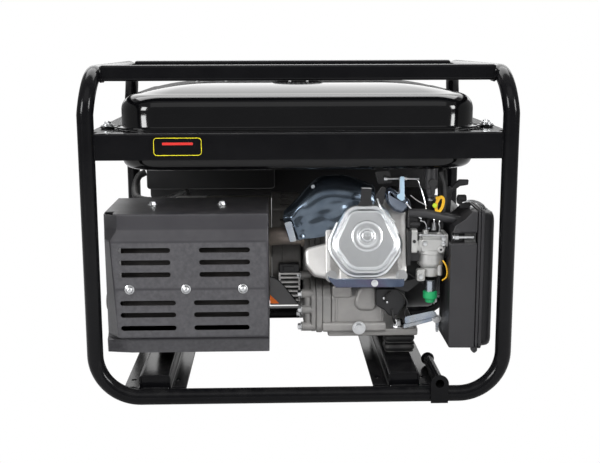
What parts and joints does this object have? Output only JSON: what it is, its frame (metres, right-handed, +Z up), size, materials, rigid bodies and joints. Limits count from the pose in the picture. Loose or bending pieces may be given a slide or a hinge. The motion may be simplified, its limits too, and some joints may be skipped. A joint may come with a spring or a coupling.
{
  "type": "portable generator",
  "caption": "Open-frame portable petrol generator: tube frame with fuel tank on top, horizontal-shaft engine, alternator, covered muffler, air cleaner and control panel.",
  "frame": {"origin": "on the floor, at the middle of the frame", "axes": "+X along the crankshaft towards the recoil starter, +Y from the muffler side to the control panel side, +Z up"},
  "size_m": [0.69, 0.5426, 0.5473],
  "materials": {
    "frame_paint": "gloss black powder coat",
    "tank_paint": "high gloss black paint",
    "shroud_paint": "satin black paint",
    "black_plastic": "moulded black plastic, fine grain",
    "dark_plastic": "moulded dark grey plastic",
    "rubber": "black rubber",
    "filter_foam": "open grey foam",
    "engine_casting": "sand cast, painted grey",
    "bright_casting": "fine die cast, bare",
    "flywheel_iron": "turned cast iron",
    "steel": "machined steel",
    "stator_steel": "varnished laminations",
    "muffler_steel": "heat-resisting aluminised sheet",
    "cover_paint": "matte charcoal coat, fine texture",
    "zinc_plate": "bright blue zinc plating",
    "polished_cover": "polished pressed cover"
  },
  "bodies": {
    "generator_frame": {"front_hoop": "frame_paint", "rear_hoop": "frame_paint", "right_top_tube": "frame_paint", "left_top_tube": "frame_paint", "front_top_bar": "frame_paint", "rear_top_bar": "frame_paint", "front_tank_rail": "frame_paint", "rear_tank_rail": "frame_paint", "left_tank_rail": "frame_paint", "right_tank_rail": "frame_paint", "left_base_rail": "frame_paint", "right_base_rail": "frame_paint", "front_axle_bracket": "frame_paint", "rear_axle_bracket": "frame_paint", "tank_lower_shell": "tank_paint", "tank_upper_shell": "tank_paint", "fuel_cock": "dark_plastic", "fuel_hose": "rubber", "cylinder_head": "bright_casting", "rocker_cover": "polished_cover", "engine_block": "engine_casting", "crankcase_cover": "bright_casting", "fan_housing": "shroud_paint", "recoil_cover": "shroud_paint", "intake_spacer": "black_plastic", "carburetor_body": "bright_casting", "float_bowl": "bright_casting", "fuel_cut_solenoid": "zinc_plate", "air_cleaner_case": "dark_plastic", "air_cleaner_cover": "black_plastic", "air_filter": "filter_foam", "air_cleaner_brace": "zinc_plate", "breather_hose": "rubber", "spark_plug_cap": "rubber", "alternator_front_bracket": "bright_casting", "stator": "stator_steel", "alternator_rear_cover": "bright_casting", "front_engine_mount": "rubber", "rear_engine_mount": "rubber", "alternator_mount": "frame_paint", "control_box": "dark_plastic", "left_socket": "black_plastic", "right_socket": "black_plastic", "panel_conduit": "rubber", "exhaust_pipe": "steel", "exhaust_shield": "zinc_plate", "muffler": "muffler_steel", "muffler_cover": "cover_paint"},
    "crank_train": {"crankshaft": "steel", "flywheel": "flywheel_iron", "rotor": "steel"},
    "fuel_cap": {"fuel_cap": "black_plastic"},
    "fuel_cock_lever": {"fuel_cock_lever": "rubber"},
    "choke_lever": {"choke_lever": "black_plastic"},
    "governor_arm": {"governor_arm": "zinc_plate"},
    "recoil_grip": {"recoil_grip": "rubber"},
    "recoil_pulley": {"recoil_pulley": "black_plastic"},
    "oil_filler_plug": {"oil_filler_plug": "black_plastic"},
    "engine_key": {"engine_key": "steel"},
    "breaker_toggle": {"breaker_toggle": "black_plastic"}
  },
  "joints": [
    {"name": "crank_spin", "type": "hinge", "parent": "generator_frame", "child": "crank_train", "pos_m": [0, 0.01, 0.205], "axis": [1, 0, 0], "continuous": true},
    {"name": "fuel_cap_turn", "type": "hinge", "parent": "generator_frame", "child": "fuel_cap", "pos_m": [0.004, 0, 0.5163], "axis": [0, 0, 1], "range_deg": [0, 90]},
    {"name": "fuel_cock_turn", "type": "hinge", "parent": "generator_frame", "child": "fuel_cock_lever", "pos_m": [0.218, -0.2105, 0.3557], "axis": [0, 1, 0], "range_deg": [0, 90]},
    {"name": "choke_turn", "type": "hinge", "parent": "generator_frame", "child": "choke_lever", "pos_m": [0.252, -0.17, 0.338], "axis": [0, 1, 0], "range_deg": [-50, 0]},
    {"name": "governor_swing", "type": "hinge", "parent": "generator_frame", "child": "governor_arm", "pos_m": [0.17, -0.184, 0.33], "axis": [0, 1, 0], "range_deg": [-12, 12]},
    {"name": "recoil_pull", "type": "slide", "parent": "generator_frame", "child": "recoil_grip", "axis": [0, 1, 0], "range_m": [0, 0.08], "stiffness_N_per_m": 120, "springref_m": -0.05},
    {"name": "recoil_pulley_turn", "type": "hinge", "parent": "generator_frame", "child": "recoil_pulley", "pos_m": [0.27, 0.01, 0.205], "axis": [1, 0, 0], "range_deg": [-90, 0]},
    {"name": "oil_filler_turn", "type": "hinge", "parent": "generator_frame", "child": "oil_filler_plug", "pos_m": [0.095, 0.1053, 0.145], "axis": [0, 1, 0], "range_deg": [0, 360]},
    {"name": "engine_key_turn", "type": "hinge", "parent": "generator_frame", "child": "engine_key", "pos_m": [-0.262, 0.2523, 0.314], "axis": [0, 1, 0], "range_deg": [-60, 0]},
    {"name": "breaker_toggle_tilt", "type": "hinge", "parent": "generator_frame", "child": "breaker_toggle", "pos_m": [-0.212, 0.2573, 0.345], "axis": [1, 0, 0], "range_deg": [-20, 20]}
  ],
  "couplings": [
    {"joint": "recoil_pulley_turn", "follows": "recoil_pull", "rad_per_m": -18.87}
  ]
}
